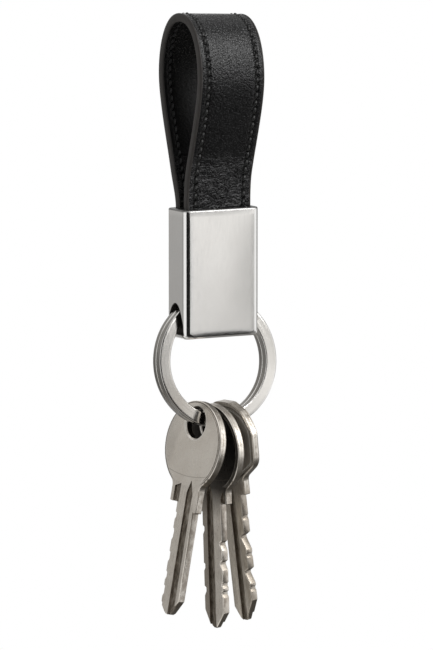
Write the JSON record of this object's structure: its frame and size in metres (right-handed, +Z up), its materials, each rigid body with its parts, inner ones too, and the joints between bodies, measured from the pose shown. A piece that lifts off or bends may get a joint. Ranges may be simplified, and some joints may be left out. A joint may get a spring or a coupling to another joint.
{
  "type": "leather keychain",
  "caption": "Folded leather strap loop clamped in a metal block, with a split ring through the block that carries flat steel keys.",
  "frame": {"origin": "inside of the strap loop's crown, at the middle of its width, where it hangs from a finger or hook", "axes": "+Z up, X across the strap, -Y towards the front of the block"},
  "size_m": [0.0332, 0.0262, 0.1548],
  "materials": {
    "leather": "fine grain, semi-matt, black",
    "lining": "fine grain, matt, black",
    "filler": "raw board, matt",
    "block_metal": "satin plated",
    "pin_steel": "plain",
    "ring_nickel": "nickel plated, polished",
    "key_nickel": "nickel plated, worn"
  },
  "bodies": {
    "fob": {"strap_leather": "leather", "strap_lining": "lining", "strap_filler": "filler", "metal_block": "block_metal", "strap_pin_left": "pin_steel", "strap_pin_right": "pin_steel"},
    "ring": {"split_ring": "ring_nickel"},
    "key_front": {"key_front": "key_nickel"},
    "key_middle": {"key_middle": "key_nickel"},
    "key_rear": {"key_rear": "key_nickel"}
  },
  "joints": [
    {"name": "ring_swing", "type": "hinge", "parent": "fob", "child": "ring", "pos_m": [0, 0.0007, -0.07019], "axis": [1, 0, 0], "range_deg": [-5, 11]},
    {"name": "key_front_swing", "type": "hinge", "parent": "ring", "child": "key_front", "pos_m": [-0.00528, -0.00263, -0.09989], "axis": [0.9717, 0.1547, -0.1783], "range_deg": [-60, 60]},
    {"name": "key_middle_swing", "type": "hinge", "parent": "ring", "child": "key_middle", "pos_m": [-0.00135, -0.00273, -0.10074], "axis": [0.9874, 0.1547, 0.0328], "range_deg": [-60, 60]},
    {"name": "key_rear_swing", "type": "hinge", "parent": "ring", "child": "key_rear", "pos_m": [0.00274, -0.00271, -0.10056], "axis": [0.9806, 0.1547, 0.1204], "range_deg": [-60, 60]}
  ]
}
